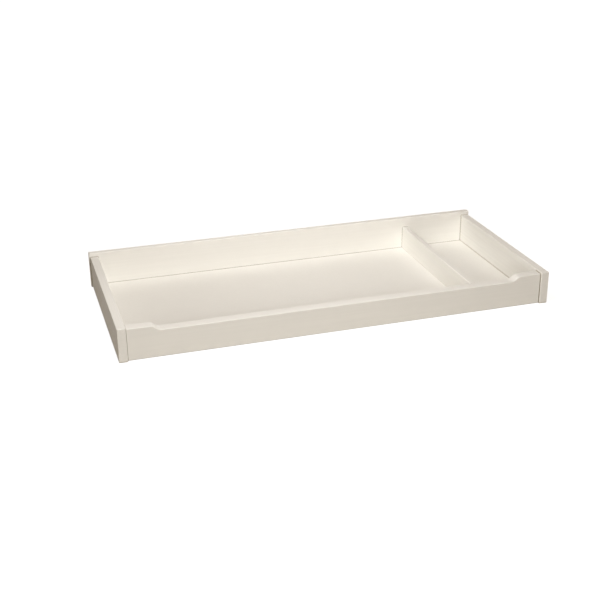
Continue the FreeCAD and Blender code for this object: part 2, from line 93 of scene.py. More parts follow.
class Graph:
    """Adds and joins the nodes of one node tree."""

    # Numbers of a Mix node's inputs and output for colours
    SHARE, FIRST, SECOND, MIXED = 0, 6, 7, 2

    def __init__(self, tree: bpy.types.NodeTree) -> None:
        """Starts with an empty tree."""
        self.tree = tree
        tree.nodes.clear()

    def node(self, kind: str, inputs: dict | None = None, **settings: object) -> bpy.types.Node:
        """Adds a node.

        Args:
            kind: the node's type, without the words that all of them start with.
            inputs: values or other nodes' outputs, by the name or number of the input.
            settings: the node's own properties.

        Returns:
            The new node.
        """
        made = self.tree.nodes.new("ShaderNode" + kind)
        for name, value in settings.items():
            setattr(made, name, value)
        for name, value in (inputs or {}).items():
            if isinstance(value, Socket):
                self.tree.links.new(value, made.inputs[name])
            else:
                made.inputs[name].default_value = value
        return made

    def here(self) -> Socket:
        """The place on the piece, in metres."""
        return self.node("TexCoord").outputs["Object"]

    def noise(self, vector: Socket, scale: float, detail: float) -> Socket:
        """A noise pattern of about 0 to 1, with that many patches per metre and finer layers."""
        return self.node("TexNoise", {"Vector": vector, "Scale": scale, "Detail": detail}).outputs[0]

    def patches(self, vector: Socket, scale: float, detail: float) -> Socket:
        """A noise pattern that fills the range from 0 to 1."""
        return self.ranged(self.noise(vector, scale, detail), NOISE_SPAN)

    def stretched(self, vector: Socket, scale: Place) -> Socket:
        """Coordinates that are scaled on each axis."""
        return self.node("Mapping", {"Vector": vector, "Scale": scale}).outputs[0]

    def ranged(self, value: Socket, span: Span, to: Span = FULL_SPAN) -> Socket:
        """A value carried from one range to another and held inside it."""
        inputs = {"Value": value, "From Min": span[0], "From Max": span[1], "To Min": to[0], "To Max": to[1]}
        return self.node("MapRange", inputs).outputs[0]

    def math(self, operation: str, first: Socket, second: Socket | float) -> Socket:
        """A sum, product or other operation on two values."""
        return self.node("Math", {0: first, 1: second}, operation=operation).outputs[0]

    def mixed(self, share: Socket, first: Socket | Tone, second: Socket | Tone) -> Socket:
        """A colour between two others."""
        inputs = {self.SHARE: share, self.FIRST: first, self.SECOND: second}
        return self.node("Mix", inputs, data_type="RGBA").outputs[self.MIXED]

    def multiplied(self, first: Socket, second: Socket) -> Socket:
        """The product of two colours."""
        inputs = {self.SHARE: 1.0, self.FIRST: first, self.SECOND: second}
        return self.node("Mix", inputs, data_type="RGBA", blend_type="MULTIPLY").outputs[self.MIXED]

    def bumped(self, height: Socket, depth: float, strength: float = BUMP_STRENGTH) -> Socket:
        """A normal that follows a height of up to that many metres."""
        return self.node("Bump", {"Strength": strength, "Distance": depth, "Height": height}).outputs[0]

    def surface(self, inputs: dict[str, object]) -> None:
        """Ends a material's tree with a shader that has these inputs."""
        shader = self.node("BsdfPrincipled", inputs)
        self.node("OutputMaterial", {"Surface": shader.outputs[0]})


def toned(colour: Colour, share: float = 1.0) -> Tone:
    """The colour times a share, with full opacity."""
    return (colour[0] * share, colour[1] * share, colour[2] * share, 1.0)


def new_material(name: str) -> tuple[Material, Graph]:
    """Adds a material with an empty node tree.

    Args:
        name: the material's name.

    Returns:
        The material and the graph of its tree.
    """
    made = bpy.data.materials.new(name)
    made.use_nodes = True
    return made, Graph(made.node_tree)


class Grain(Enum):
    """The way that a grain runs, as the stretch of its patterns on each axis."""

    LENGTHWISE = (0.03, 1.0, 1.0)
    FRONT_TO_BACK = (1.0, 0.03, 1.0)
    NONE = (1.0, 1.0, 1.0)


@dataclass(frozen=True)
class PaintFinish:
    """Satin off-white paint that lets a little of the wood's grain show.

    Shares are of the colour, scales are patches per metre, and reaches and depths are in metres. Rounded
    edges get a painted highlight where the eased normal leaves the flat one, and joints and inside corners
    get painted shade where little of the sky is open.
    """

    name: str
    grain: Grain
    colour: Colour = (0.872, 0.858, 0.813)
    streak_share: float = 0.012
    cloud_share: float = 0.012
    # Painted highlight on rounded edges, as a share of the colour
    edge_highlight_share: float = 1.03
    edge_reach: float = 0.002
    edge_span: Span = (0.99, 0.85)
    edge_samples: int = 4
    # Painted shade in joints and inside corners: its colour, the reach of its occlusion test, its span and
    # samples
    crevice_shade_colour: Colour = (0.36, 0.33, 0.28)
    crevice_shade_reach: float = 0.0015
    crevice_shade_span: Span = (0.95, 0.6)
    crevice_shade_samples: int = 6
    streak_scale: float = 170.0
    pore_scale: float = 900.0
    cloud_scale: float = 24.0
    peel_scale: float = 620.0
    bump_depth: float = 0.0001
    roughness: Span = (0.55, 0.65)
    specular: float = 0.3

    def material(self) -> Material:
        """Makes the paint.

        Returns:
            Its node material.
        """
        made, graph = new_material(self.name)
        here = graph.here()
        along = graph.stretched(here, self.grain.value)
        streaks = graph.patches(along, self.streak_scale, LINE_DETAIL)
        pores = graph.noise(along, self.pore_scale, CLOUD_DETAIL)
        clouds = graph.patches(here, self.cloud_scale, CLOUD_DETAIL)
        peel = graph.noise(here, self.peel_scale, PLAIN_DETAIL)

        dark, light = toned(self.colour, 1 - self.streak_share), toned(self.colour, 1 + self.streak_share)
        streaked = graph.mixed(streaks, dark, light)
        shade = graph.mixed(clouds, toned(WHITE, 1 - self.cloud_share), toned(WHITE))
        clouded = graph.multiplied(streaked, shade)

        # Painted highlight: rounded edges a little lighter, as if they catch the light
        eased = graph.node("Bevel", {"Radius": self.edge_reach}, samples=self.edge_samples).outputs[0]
        flat = graph.node("NewGeometry").outputs["Normal"]
        facing = graph.node("VectorMath", {0: eased, 1: flat}, operation="DOT_PRODUCT").outputs["Value"]
        edge = graph.ranged(facing, self.edge_span)
        edge_highlighted = graph.mixed(edge, clouded, toned(self.colour, self.edge_highlight_share))
        # Painted shade: darker where other surfaces lie within reach, in joints and inside corners
        sky = graph.node("AmbientOcclusion", {"Distance": self.crevice_shade_reach}, samples=self.crevice_shade_samples)
        joint = graph.ranged(sky.outputs["AO"], self.crevice_shade_span)
        crevice_shaded = graph.mixed(joint, edge_highlighted, toned(self.crevice_shade_colour))

        graph.surface({
            "Base Color": crevice_shaded,
            "Roughness": graph.ranged(clouds, FULL_SPAN, self.roughness),
            "Specular IOR Level": self.specular,
            "Normal": graph.bumped(graph.math("ADD", pores, peel), self.bump_depth),
        })
        return made


@dataclass(frozen=True)
class MetalFinish:
    """Plated, pressed or cast metal, with clouds in its gloss and fine pits or polishing lines.

    Tones are shares of the colour, scales are patches per metre and the depth is in metres.
    """

    name: str
    colour: Colour
    roughness: Span
    cloud_scale: float = 260.0
    pit_scale: float = 2200.0
    pit_depth: float = 0.00004
    grain: Grain = Grain.NONE
    tones: Span = (0.8, 1.12)
    pit_span: Span = (0.35, 0.65)
    gloss_span: Span = (0.2, 0.8)

    def material(self) -> Material:
        """Makes the metal.

        Returns:
            Its node material.
        """
        made, graph = new_material(self.name)
        here = graph.here()
        clouds = graph.patches(here, self.cloud_scale, CLOUD_DETAIL)
        pits = graph.noise(graph.stretched(here, self.grain.value), self.pit_scale, PIT_DETAIL)
        both = graph.math("ADD", clouds, graph.ranged(pits, self.pit_span))
        gloss = graph.math("MULTIPLY", both, 0.5)
        dark, light = (toned(self.colour, share) for share in self.tones)
        graph.surface({
            "Base Color": graph.mixed(gloss, dark, light),
            "Metallic": 1.0,
            "Roughness": graph.ranged(gloss, self.gloss_span, self.roughness),
            "Normal": graph.bumped(pits, self.pit_depth),
        })
        return made


@dataclass(frozen=True)
class BeechFinish:
    """Raw beech with fine lines and short dark flecks along its grain.

    Tones are shares of the colour, scales are patches per metre and the depth is in metres.
    """

    name: str
    grain: Grain
    colour: Colour = (0.72, 0.53, 0.35)
    line_tones: Span = (0.82, 1.08)
    fleck_tone: float = 0.55
    line_scale: float = 700.0
    fleck_scale: float = 1400.0
    fleck_span: Span = (0.62, 0.7)
    roughness: Span = (0.75, 0.6)
    bump_depth: float = 0.0001
    bump_strength: float = 0.4

    def material(self) -> Material:
        """Makes the wood.

        Returns:
            Its node material.
        """
        made, graph = new_material(self.name)
        along = graph.stretched(graph.here(), self.grain.value)
        lines = graph.patches(along, self.line_scale, LINE_DETAIL)
        flecks = graph.ranged(graph.noise(along, self.fleck_scale, PLAIN_DETAIL), self.fleck_span)
        dark, light = (toned(self.colour, share) for share in self.line_tones)
        lined = graph.mixed(lines, dark, light)
        graph.surface({
            "Base Color": graph.mixed(flecks, lined, toned(self.colour, self.fleck_tone)),
            "Roughness": graph.ranged(lines, FULL_SPAN, self.roughness),
            "Normal": graph.bumped(lines, self.bump_depth, self.bump_strength),
        })
        return made


@dataclass(frozen=True)
class NylonFinish:
    """Natural moulded nylon, a little cloudy.

    Tones are shares of the colour, the scale is patches per metre and the depth is in metres.
    """

    name: str
    colour: Colour = (0.9, 0.9, 0.87)
    tones: Span = (0.93, 1.02)
    cloud_scale: float = 400.0
    roughness: Span = (0.4, 0.52)
    bump_depth: float = 0.00003

    def material(self) -> Material:
        """Makes the plastic.

        Returns:
            Its node material.
        """
        made, graph = new_material(self.name)
        clouds = graph.patches(graph.here(), self.cloud_scale, CLOUD_DETAIL)
        dark, light = (toned(self.colour, share) for share in self.tones)
        graph.surface({
            "Base Color": graph.mixed(clouds, dark, light),
            "Roughness": graph.ranged(clouds, FULL_SPAN, self.roughness),
            "Normal": graph.bumped(clouds, self.bump_depth),
        })
        return made


class Finish(Enum):
    """The finishes of the hardware."""

    SCREW_STEEL = MetalFinish("bright_zinc_plate", (0.55, 0.55, 0.53), (0.22, 0.4))
    PLATE_STEEL = MetalFinish(
        "pressed_plated_steel", (0.46, 0.465, 0.47), (0.28, 0.46),
        cloud_scale=120.0, pit_scale=1600.0, grain=Grain.LENGTHWISE,
    )
    CAST_ZINC = MetalFinish(
        "cast_zinc", (0.46, 0.465, 0.47), (0.38, 0.6), cloud_scale=350.0, pit_scale=1500.0, pit_depth=0.00009
    )
    BEECH_LENGTHWISE = BeechFinish("beech_lengthwise", Grain.LENGTHWISE)
    BEECH_FRONT_TO_BACK = BeechFinish("beech_front_to_back", Grain.FRONT_TO_BACK)
    NYLON = NylonFinish("natural_nylon")


@cache
def finished(finish: Finish) -> Material:
    """The one material of a finish."""
    return finish.value.material()


@dataclass(frozen=True)
class TrayCamera:
    """The camera at the photograph's viewing angle.

    Angles are in degrees: yaw turns it from +Y towards +X, pitch is downwards, and roll is about its view.
    """

    place: Place = (-0.7551, -2.3260, 1.0524)
    yaw: float = 17.177
    pitch: float = 23.663
    roll: float = -0.466
    lens_mm: float = 63.334
    sensor_mm: float = 36.0

    def build(self) -> None:
        """Adds the camera and makes it the scene's own."""
        yaw, pitch, roll = (math.radians(angle) for angle in (self.yaw, self.pitch, self.roll))
        ahead = Vector((math.sin(yaw) * math.cos(pitch), math.cos(yaw) * math.cos(pitch), -math.sin(pitch)))
        level = Vector((math.cos(yaw), -math.sin(yaw), 0.0))
        upright = level.cross(ahead)
        right = math.cos(roll) * level + math.sin(roll) * upright
        up = -math.sin(roll) * level + math.cos(roll) * upright
        turn = Matrix((right, up, -ahead)).transposed().to_4x4()
        bpy.ops.object.camera_add()
        camera = bpy.context.object
        camera.name = "tray_camera"
        camera.matrix_world = Matrix.Translation(self.place) @ turn
        camera.data.lens = self.lens_mm
        camera.data.sensor_width = self.sensor_mm
        bpy.context.scene.camera = camera


@dataclass(frozen=True)
class SoftLamp:
    """A soft box that shines at a point.

    Its height is a share of its width, and the spread of its beam is in degrees.
    """

    name: str
    place: Place
    width: float
    power: float
    target: Place = (0.0, 0.0, 0.05)
    spread: float = 180.0
    height_share: float = 1.0

    def build(self) -> None:
        """Adds the lamp."""
        bpy.ops.object.light_add(type="AREA", location=self.place)
        lamp = bpy.context.object
        lamp.name = self.name
        lamp.rotation_mode = "QUATERNION"
        lamp.rotation_quaternion = (Vector(self.target) - Vector(self.place)).to_track_quat("-Z", "Y")
        lamp.data.shape = "RECTANGLE"
        lamp.data.size = self.width
        lamp.data.size_y = self.width * self.height_share
        lamp.data.spread = math.radians(self.spread)
        lamp.data.energy = self.power


@dataclass(frozen=True)
class Studio:
    """A pale floor, soft lamps and a white surround.

    The floor steps down behind the tray, as furniture does behind a tray that stands on it. The bay lamp's
    narrower beam is for the storage bay, the right lamp is a strip that stays below the tops of the boards,
    and the rear lamp is a strip that skims them.
    """

    lamps: tuple[SoftLamp, ...] = (
        SoftLamp("front_lamp", (-0.2, -2.4, 0.7), 0.6, 24.4),
        SoftLamp("top_lamp", (-0.4, -0.3, 1.4), 0.7, 12.0),
        SoftLamp("bay_lamp", (-0.65, -0.18, 1.2), 0.5, 0.54, target=(0.47, 0.14, 0.04), spread=52.0),
        SoftLamp("right_lamp", (2.9, 0.0, 0.045), 0.44, 18.0, height_share=0.16),
        SoftLamp("rear_lamp", (0.1, 2.4, 0.13), 1.0, 27.0, height_share=0.3),
    )
    fill_strength: float = 0.146
    fill_colour: Colour = (1.0, 0.64, 0.28)
    floor_reach: float = 14.0
    step_y: float = 0.2325
    step_drop: float = 0.06
    slack: float = 0.0001
    floor_glow: float = 0.88
    glow_span: Span = (0.9, 1.8)
    floor_colour: Colour = (0.4, 0.4, 0.4)
    bounce_colour: Colour = (0.41, 0.38, 0.32)

    def floor(self) -> None:
        """Adds the stepped floor to the stage."""
        bpy.ops.object.select_all(action="DESELECT")
        depth = self.floor_reach + self.step_y
        bpy.ops.mesh.primitive_plane_add(size=1.0, location=(0.0, self.step_y - depth / 2, 0.0))
        made = bpy.context.object
        made.name = "floor"
        made.scale = (2 * self.floor_reach, depth, 1.0)
        bpy.ops.object.transform_apply(location=True, rotation=False, scale=True)

        def at_rear(place: Vector) -> bool:
            """Whether a vertex is on the rear edge."""
            return place.y > self.step_y - self.slack

        Bench.pick_vertices(made, at_rear)
        Bench.edit(made, Picked.VERTICES)
        for step in ((0.0, 0.0, -self.step_drop), (0.0, self.floor_reach, 0.0)):
            bpy.ops.mesh.extrude_region_move(TRANSFORM_OT_translate={"value": step})
        bpy.ops.object.mode_set(mode="OBJECT")
        made.data.materials.append(self.floor_material())

    def floor_material(self) -> Material:
        """Makes a floor that reads white, takes the tray's shadow and throws warm light back at the boards.

        Returns:
            Its node material.
        """
        made, graph = new_material("floor")
        away = graph.node("VectorMath", {0: graph.here()}, operation="LENGTH").outputs["Value"]
        glow = graph.ranged(away, self.glow_span, (self.floor_glow, 1.0))
        lit = graph.node("BsdfDiffuse", {"Color": toned(self.floor_colour)})
        white = graph.node("Emission", {"Strength": glow})
        both = graph.node("AddShader", {0: lit.outputs[0], 1: white.outputs[0]})
        bounced = graph.node("BsdfDiffuse", {"Color": toned(self.bounce_colour)})
        mixed = graph.node("MixShader", {0: self.shown(graph), 1: bounced.outputs[0], 2: both.outputs[0]})
        graph.node("OutputMaterial", {"Surface": mixed.outputs[0]})
        return made

    def surround(self) -> None:
        """Sets the world: white where it shows, and a weak warm fill elsewhere."""
        world = bpy.data.worlds.new("surround")
        world.use_nodes = True
        graph = Graph(world.node_tree)
        fill = graph.node("Background", {"Color": toned(self.fill_colour), "Strength": self.fill_strength})
        white = graph.node("Background", {"Color": toned(WHITE), "Strength": 1.0})
        mixed = graph.node("MixShader", {0: self.shown(graph), 1: fill.outputs[0], 2: white.outputs[0]})
        graph.node("OutputWorld", {"Surface": mixed.outputs[0]})
        bpy.context.scene.world = world

    @staticmethod
    def shown(graph: Graph) -> Socket:
        """Finds the rays that see the background.

        Args:
            graph: the graph of the background's tree.

        Returns:
            1 where the background is seen, in a mirror or through glass too, and 0 where it only lights.
        """
        path = graph.node("LightPath").outputs
        seen = graph.math("MAXIMUM", path["Is Camera Ray"], path["Is Glossy Ray"])
        return graph.math("MAXIMUM", seen, path["Is Transmission Ray"])

    def build(self) -> None:
        """Adds the floor, the lamps and the surround."""
        self.floor()
        for lamp in self.lamps:
            lamp.build()
        self.surround()
        bpy.context.scene.view_settings.view_transform = "Standard"


@dataclass(frozen=True)
class PaintedBoards:
    """The four sides, the divider and the bottom panel, which keep their own shapes.

    The painted shade in the joints of the end panels is dark, wide and soft, and at the divider and the panel
    it is faint.
    """

    end_streaks: float = 0.022
    # Painted shade in joints: dark and wide on the end panels, wider on the back board, faint on the divider
    # and panel
    end_shade_colour: Colour = (0.52, 0.48, 0.4)
    end_shade_reach: float = 0.005
    back_shade_reach: float = 0.0025
    faint_shade_colour: Colour = (0.7, 0.66, 0.6)

    def paints(self) -> dict[PaintFinish, tuple[str, ...]]:
        """Chooses the paints.

        Returns:
            The boards that take each paint.
        """
        rail = PaintFinish("paint_rail", Grain.LENGTHWISE)
        back = PaintFinish("paint_back", Grain.LENGTHWISE, crevice_shade_reach=self.back_shade_reach)
        ends = PaintFinish(
            "paint_ends",
            Grain.FRONT_TO_BACK,
            streak_share=self.end_streaks,
            crevice_shade_colour=self.end_shade_colour,
            crevice_shade_reach=self.end_shade_reach,
        )
        divider = PaintFinish("paint_divider", Grain.FRONT_TO_BACK, crevice_shade_colour=self.faint_shade_colour)
        panel = PaintFinish("paint_panel", Grain.NONE, crevice_shade_colour=self.faint_shade_colour)
        return {
            rail: ("front_rail",),
            back: ("back_board",),
            ends: ("left_end_panel", "right_end_panel"),
            divider: ("divider",),
            panel: ("bottom_panel",),
        }

    def dress(self) -> None:
        """Paints each board along its grain."""
        for paint, names in self.paints().items():
            material = paint.material()
            for name in names:
                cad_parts[name].material_slots[0].material = material
                log.info("painted %s", name)


class Joinery(Enum):
    """What a tool does to a model."""

    CUT = "DIFFERENCE"
    JOIN = "UNION"


class Picked(Enum):
    """What is picked of a mesh in edit mode."""

    VERTICES = "VERT"
    FACES = "FACE"


class Bench:
    """Ways to shape a model, in millimetres along +Z, before its copies go to their places.

    Half the root of a ridge is a share of the thread's pitch, its foot is a share of the core's radius, and
    angles are in degrees.
    """

    SIDES = 48
    RIDGE_HALF = 0.35
    RIDGE_FOOT = 0.9
    RIDGE_STEPS = 24
    POINT_SHARE = 0.05
    SOFT_ANGLE = 40.0
    SMOOTH_ANGLE = 35.0
    # Least share of a face's normal that counts as facing along Z
    FACING = 0.5
    # Points this near to each other after a cut or a join become one
    MERGE_REACH = 0.001

    @staticmethod
    def only(made: Object) -> None:
        """Selects one object and makes it the active one.

        Args:
            made: the object.
        """
        bpy.ops.object.select_all(action="DESELECT")
        made.select_set(True)
        bpy.context.view_layer.objects.active = made

    @staticmethod
    def pick_faces(made: Object, test: Callable[[bpy.types.MeshPolygon], bool]) -> None:
        """Selects some faces, and nothing else of the mesh.

        Args:
            made: the model.
            test: says of a face whether it is picked.
        """
        for items in (made.data.vertices, made.data.edges):
            items.foreach_set("select", [False] * len(items))
        for face in made.data.polygons:
            face.select = test(face)

    @staticmethod
    def pick_vertices(made: Object, test: Callable[[Vector], bool]) -> None:
        """Selects some vertices, and nothing else of the mesh.

        Args:
            made: the model.
            test: says of a vertex's place whether it is picked.
        """
        for items in (made.data.edges, made.data.polygons):
            items.foreach_set("select", [False] * len(items))
        for vertex in made.data.vertices:
            vertex.select = test(vertex.co)

    @classmethod
    def on_side(cls, face: bpy.types.MeshPolygon) -> bool:
        """Whether a face looks sideways."""
        return abs(face.normal.z) < cls.FACING

    @classmethod
    def on_top(cls, face: bpy.types.MeshPolygon) -> bool:
        """Whether a face looks along +Z."""
        return face.normal.z > cls.FACING

    @classmethod
    def edit(cls, made: Object, picked: Picked) -> None:
        """Starts edit mode on one object.

        Args:
            made: the object.
            picked: what is selectable.
        """
        cls.only(made)
        bpy.ops.object.mode_set(mode="EDIT")
        bpy.ops.mesh.select_mode(type=picked.value)

    @staticmethod
    def face_out() -> None:
        """Turns the faces of the mesh in edit mode outwards, and ends edit mode."""
        bpy.ops.mesh.select_all(action="SELECT")
        bpy.ops.mesh.normals_make_consistent(inside=False)
        bpy.ops.object.mode_set(mode="OBJECT")

    @classmethod
    def turned(cls, outline: Outline, sides: int = SIDES) -> Object:
        """Makes a closed shape of round section along +Z.

        Args:
            outline: pairs of radius and height, from one end to the other.
            sides: corners of the round section.

        Returns:
            The model.
        """
        (radius, height), *rest = outline
        bpy.ops.mesh.primitive_circle_add(vertices=sides, radius=radius, fill_type="NGON")
        made = bpy.context.object
        cls.edit(made, Picked.FACES)
        bpy.ops.mesh.select_all(action="SELECT")
        bpy.ops.transform.translate(value=(0.0, 0.0, height))
        for next_radius, next_height in rest:
            rise = (0.0, 0.0, next_height - height)
            bpy.ops.mesh.extrude_region_move(TRANSFORM_OT_translate={"value": rise})
            share = next_radius / radius
            bpy.ops.transform.resize(value=(share, share, 1.0))
            radius, height = next_radius, next_height
        cls.face_out()
        return made

    @staticmethod
    def block(low: Place, high: Place) -> Object:
        """Makes a block to cut with.

        Args:
            low: its lowest corner.
            high: its highest corner.

        Returns:
            The block.
        """
        bpy.ops.object.select_all(action="DESELECT")
        middle = (Vector(low) + Vector(high)) / 2
        bpy.ops.mesh.primitive_cube_add(size=1.0, location=middle)
        made = bpy.context.object
        made.scale = Vector(high) - Vector(low)
        bpy.ops.object.transform_apply(location=True, rotation=False, scale=True)
        return made

    @classmethod
    def cross(cls, reach: float, width: float, depth: float, taper: float = 0.7) -> Object:
        """Makes a cross-shaped driver recess to cut with, from the origin along +Z.

        Args:
            reach: from its middle to the end of an arm.
            width: of an arm.
            depth: of the recess.
            taper: size of its deep end, as a share of its mouth.

        Returns:
            A closed model that starts a little before the origin.
        """
        half = width / 2
        made = cls.block((-half, -half, -depth / 2), (half, half, depth))
        cls.pick_faces(made, cls.on_side)
        cls.edit(made, Picked.FACES)
        bpy.ops.mesh.extrude_faces_move(TRANSFORM_OT_shrink_fatten={"value": reach - half})
        bpy.ops.object.mode_set(mode="OBJECT")
        cls.pick_faces(made, cls.on_top)
        cls.edit(made, Picked.FACES)
        bpy.ops.transform.resize(value=(taper, taper, 1.0), center_override=(0.0, 0.0, depth))
        cls.face_out()
        return made

    @classmethod
    def ridge(cls, core: float, crest: float, pitch: float, start: float, end: float) -> Object:
        """Makes a thread's ridge.

        Args:
            core: radius of the core that it stands on.
            crest: radius of its crest.
            pitch: rise of one turn.
            start: height of its first turn.
            end: height that it stays under.

        Returns:
            A closed model, sunk a little into the core.
        """
        bpy.ops.mesh.primitive_circle_add(vertices=3, radius=crest, fill_type="NOTHING")
        made = bpy.context.object
        half, foot = cls.RIDGE_HALF * pitch, cls.RIDGE_FOOT * core
        corners = ((foot, 0.0, start - half), (crest, 0.0, start), (foot, 0.0, start + half))
        for vertex, corner in zip(made.data.vertices, corners):
            vertex.co = corner
        winding = made.modifiers.new("winding", "SCREW")
        winding.screw_offset = pitch
        winding.iterations = max(int((end - start - half) / pitch), 1)
        winding.steps = winding.render_steps = cls.RIDGE_STEPS
        cls.only(made)
        bpy.ops.object.modifier_apply(modifier=winding.name)
        cls.edit(made, Picked.VERTICES)
        bpy.ops.mesh.select_all(action="SELECT")
        bpy.ops.mesh.fill_holes(sides=3)
        cls.face_out()
        return made

    @classmethod
    def worked(cls, made: Object, joinery: Joinery, *tools: Object) -> Object:
        """Cuts tools from a model, or joins them to it.

        Args:
            made: the model.
            joinery: what the tools do to it.
            tools: closed models, which are used up.

        Returns:
            The model.
        """
        for tool in tools:
            modifier = made.modifiers.new(joinery.name, "BOOLEAN")
            modifier.operation = joinery.value
            modifier.solver = "EXACT"
            modifier.object = tool
            cls.only(made)
            bpy.ops.object.modifier_apply(modifier=modifier.name)
            bpy.data.objects.remove(tool)
        cls.edit(made, Picked.VERTICES)
        bpy.ops.mesh.select_all(action="SELECT")
        bpy.ops.mesh.remove_doubles(threshold=cls.MERGE_REACH)
        bpy.ops.object.mode_set(mode="OBJECT")
        return made

    @classmethod
    def softened(cls, made: Object, width: float, segments: int = 2) -> Object:
        """Rounds a model's sharp edges.

        Args:
            made: the model.
            width: of the rounding.
            segments: rows of faces across it.

        Returns:
            The model.
        """
        modifier = made.modifiers.new("softening", "BEVEL")
        modifier.width = width
        modifier.segments = segments
        modifier.limit_method = "ANGLE"
        modifier.angle_limit = math.radians(cls.SOFT_ANGLE)
        cls.only(made)
        bpy.ops.object.modifier_apply(modifier=modifier.name)
        return made

    @classmethod
    def pointed(cls, made: Object, start: float, end: float) -> None:
        """Draws a threaded shank to a point.

        Args:
            made: the model.
            start: height where it starts to narrow.
            end: height of the point.
        """
        for vertex in made.data.vertices:
            if vertex.co.z > start:
                vertex.co.xy *= max((end - vertex.co.z) / (end - start), cls.POINT_SHARE)

    @classmethod
    def placed(
        cls, model: Object, name: str, point: Place, direction: Place, spin: float = 0.0
    ) -> Object:
        """Copies a model, with a mesh of its own in metres.

        Args:
            model: the model, in millimetres along +Z.
            name: the copy's name.
            point: where the model's origin goes, in millimetres.
            direction: where its +Z goes.
            spin: a turn about its own +Z first, in degrees.

        Returns:
            The copy, whose place is in its mesh.
        """
        made = model.copy()
        made.data = model.data.copy()
        made.name = made.data.name = name
        bpy.context.scene.collection.objects.link(made)
        turn = Vector(UP).rotation_difference(Vector(direction)).to_matrix().to_4x4()
        turn = turn @ Matrix.Rotation(math.radians(spin), 4, "Z")
        made.data.transform(Matrix.Scale(MM, 4) @ Matrix.Translation(point) @ turn)
        cls.only(made)
        bpy.ops.object.shade_smooth_by_angle(angle=math.radians(cls.SMOOTH_ANGLE))
        return made

    @staticmethod
    def cleared(*models: Object) -> None:
        """Removes models whose copies are all in place."""
        for model in models:
            bpy.data.objects.remove(model)


def hand_over(piece: Object, node: str, body: str, finish: Finish) -> None:
    """Gives a piece its finish and its place in the frame.

    Args:
        piece: the finished piece.
        node: the CAD node that it stands for.
        body: the CAD body that it moves with.
        finish: its finish.
    """
    piece.data.materials.clear()
    piece.data.materials.append(finished(finish))
    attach(piece, body)
    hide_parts(node)
    log.info("made %s for %s", piece.name, node)


# Radius of a thread's core, as a share of the thread's own
CORE_SHARE = 0.68


@dataclass(frozen=True)
class WoodScrews:
    """Countersunk screws of one size, with cross recesses, in millimetres.

    The plain shank is as thick as the thread, and the head is a right-angled cone. The recess's reach and
    width are shares of the head's radius, its depth is a share of the cone's, and the plain shank is a share
    of the length below the head.
    """

    node: str
    places: tuple[Place, ...]
    direction: Place
    head_radius: float
    thread_radius: float
    length: float
    pitch: float
    rim: float = 0.12
    plain_share: float = 0.3
    cross_reach: float = 0.6
    cross_width: float = 0.26
    cross_depth: float = 0.8

    def model(self) -> Object:
        """Makes one screw.

        Returns:
            The model, with the face of its head at the origin.
        """
        head, thread, length = self.head_radius, self.thread_radius, self.length
        core = CORE_SHARE * thread
        neck = head - thread
        thread_start = neck + self.plain_share * (length - neck)
        outline = (
            (head - 2 * self.rim, 0.0),
            (head - self.rim, self.rim),
            (thread, neck),
            (thread, thread_start - self.pitch / 2),
            (core, thread_start),
            (core, length),
        )
        made = Bench.turned(outline)
        Bench.worked(made, Joinery.JOIN, Bench.ridge(core, thread, self.pitch, thread_start, length))
        Bench.pointed(made, length - 2 * thread, length)
        cross = Bench.cross(self.cross_reach * head, self.cross_width * head, self.cross_depth * neck)
        return Bench.worked(made, Joinery.CUT, cross)

    def build(self) -> None:
        """Puts a copy in each place, each with its cross at another angle."""
        model, stem = self.model(), self.node.removesuffix("s")
        for i, point in enumerate(self.places):
            spin = SPIN_STEP * i % QUARTER_TURN
            made = Bench.placed(model, f"{stem}_{i + 1}", point, self.direction, spin)
            hand_over(made, self.node, "frame", Finish.SCREW_STEEL)
        Bench.cleared(model)


@dataclass(frozen=True)
class Dowels:
    """Fluted dowels of one size, in millimetres, each from its joint's plane.

    A place is a point and a direction, and the flute's share is what it leaves of the radius.
    """

    node: str
    places: tuple[tuple[Place, Place], ...]
    radius: float
    behind: float
    ahead: float
    finish: Finish
    bevel: float = 1.0
    flutes: int = 16
    flute_corners: int = 3
    flute_share: float = 0.93

    def model(self) -> Object:
        """Makes one dowel, with bevelled ends and a flute at every third corner of its section.

        Returns:
            The model, with its joint's plane at the origin.
        """
        tip = self.radius - self.bevel
        low, high = -self.behind, self.ahead
        outline = ((tip, low), (self.radius, low + self.bevel), (self.radius, high - self.bevel), (tip, high))
        sides = self.flute_corners * self.flutes
        made = Bench.turned(outline, sides)

        def in_flute(place: Vector) -> bool:
            """Whether a vertex is at the bottom of a flute."""
            corner = round(math.atan2(place.y, place.x) / math.tau * sides)
            return place.xy.length > tip + self.bevel / 2 and corner % self.flute_corners == 0

        Bench.pick_vertices(made, in_flute)
        Bench.edit(made, Picked.VERTICES)
        share = (self.flute_share, self.flute_share, 1.0)
        bpy.ops.transform.resize(value=share, center_override=(0.0, 0.0, 0.0))
        Bench.face_out()
        return made

    def build(self) -> None:
        """Puts a copy in each place."""
        model, stem = self.model(), self.node.removesuffix("s")
        for i, (point, direction) in enumerate(self.places):
            made = Bench.placed(model, f"{stem}_{i + 1}", point, direction)
            hand_over(made, self.node, "frame", self.finish)
        Bench.cleared(model)


